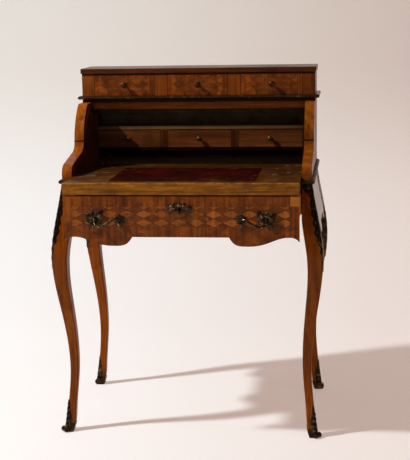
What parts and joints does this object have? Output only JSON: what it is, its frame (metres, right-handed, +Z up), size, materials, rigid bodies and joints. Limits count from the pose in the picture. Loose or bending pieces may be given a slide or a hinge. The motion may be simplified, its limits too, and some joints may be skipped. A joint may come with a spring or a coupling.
{
  "type": "roll-top writing desk",
  "caption": "Roll-top writing desk on cabriole legs with a drawer gradin, an inner nest of drawers, a pull-out leather writing slide and a shaped frieze drawer.",
  "frame": {"origin": "on the floor under the middle of the desk's box, with the slide and frieze drawer pulled out as pictured", "axes": "+Z up, -Y the front that the sitter faces, +X to the right seen from the front"},
  "size_m": [0.7466, 0.587, 1],
  "materials": {
    "veneer": "satin",
    "parquetry": "satin",
    "carcass_wood": "matte",
    "slide_wood": "satin",
    "pale_wood": "worn",
    "inner_wood": "satin",
    "bronze": "patinated",
    "brass": "polished",
    "lock_iron": "matte",
    "leather": "worn",
    "canvas": "matte"
  },
  "bodies": {
    "carcass": {"back_panel": "carcass_wood", "back_rail": "carcass_wood", "drawer_runners": "carcass_wood", "dust_board": "carcass_wood", "gradin_back": "carcass_wood", "gradin_bottom": "veneer", "gradin_moulding": "bronze", "gradin_partition_left": "veneer", "gradin_partition_right": "veneer", "gradin_side_left": "veneer", "gradin_side_right": "veneer", "gradin_top": "veneer", "knee_mounts": "bronze", "ledge_mouldings": "bronze", "leg_back_left": "veneer", "leg_back_right": "veneer", "leg_front_left": "veneer", "leg_front_right": "veneer", "leg_shoes": "bronze", "nest_back": "carcass_wood", "nest_bottom": "inner_wood", "nest_dividers": "inner_wood", "nest_shelf": "inner_wood", "nest_uprights": "inner_wood", "side_apron_left": "veneer", "side_apron_right": "veneer", "side_panel_left": "veneer", "side_panel_right": "veneer"},
    "frieze_drawer": {"frieze_back": "carcass_wood", "frieze_bottom": "carcass_wood", "frieze_escutcheon": "bronze", "frieze_front": "parquetry", "frieze_handle_left": "bronze", "frieze_handle_right": "bronze", "frieze_lock": "lock_iron", "frieze_sides": "carcass_wood"},
    "writing_slide": {"slide_board": "slide_wood", "slide_leather": "leather", "slide_lipping": "pale_wood"},
    "roll": {"roll_canvas": "canvas", "roll_lift_rail": "inner_wood", "roll_slats": "inner_wood"},
    "gradin_drawer_left": {"gradin_drawer_left_box": "carcass_wood", "gradin_drawer_left_front": "parquetry", "gradin_drawer_left_knob": "bronze"},
    "nest_drawer_left": {"nest_drawer_left_box": "carcass_wood", "nest_drawer_left_front": "inner_wood", "nest_drawer_left_knob": "brass"},
    "gradin_drawer_middle": {"gradin_drawer_middle_box": "carcass_wood", "gradin_drawer_middle_front": "parquetry", "gradin_drawer_middle_knob": "bronze"},
    "nest_drawer_middle": {"nest_drawer_middle_box": "carcass_wood", "nest_drawer_middle_front": "inner_wood", "nest_drawer_middle_knob": "brass"},
    "gradin_drawer_right": {"gradin_drawer_right_box": "carcass_wood", "gradin_drawer_right_front": "parquetry", "gradin_drawer_right_knob": "bronze"},
    "nest_drawer_right": {"nest_drawer_right_box": "carcass_wood", "nest_drawer_right_front": "inner_wood", "nest_drawer_right_knob": "brass"}
  },
  "joints": [
    {"name": "frieze_drawer_slide", "type": "slide", "parent": "carcass", "child": "frieze_drawer", "axis": [0, -1, 0], "range_m": [-0.118, 0.15]},
    {"name": "writing_slide_slide", "type": "slide", "parent": "carcass", "child": "writing_slide", "axis": [0, -1, 0], "range_m": [-0.118, 0.11]},
    {"name": "gradin_drawer_left_slide", "type": "slide", "parent": "carcass", "child": "gradin_drawer_left", "axis": [0, -1, 0], "range_m": [0, 0.09]},
    {"name": "gradin_drawer_middle_slide", "type": "slide", "parent": "carcass", "child": "gradin_drawer_middle", "axis": [0, -1, 0], "range_m": [0, 0.09]},
    {"name": "gradin_drawer_right_slide", "type": "slide", "parent": "carcass", "child": "gradin_drawer_right", "axis": [0, -1, 0], "range_m": [0, 0.09]},
    {"name": "nest_drawer_left_slide", "type": "slide", "parent": "carcass", "child": "nest_drawer_left", "axis": [0, -1, 0], "range_m": [0, 0.042]},
    {"name": "nest_drawer_middle_slide", "type": "slide", "parent": "carcass", "child": "nest_drawer_middle", "axis": [0, -1, 0], "range_m": [0, 0.042]},
    {"name": "nest_drawer_right_slide", "type": "slide", "parent": "carcass", "child": "nest_drawer_right", "axis": [0, -1, 0], "range_m": [0, 0.042]},
    {"name": "roll_turn", "type": "hinge", "parent": "carcass", "child": "roll", "pos_m": [0, 0.1545, 0.782], "axis": [1, 0, 0], "range_deg": [0, 121]}
  ]
}
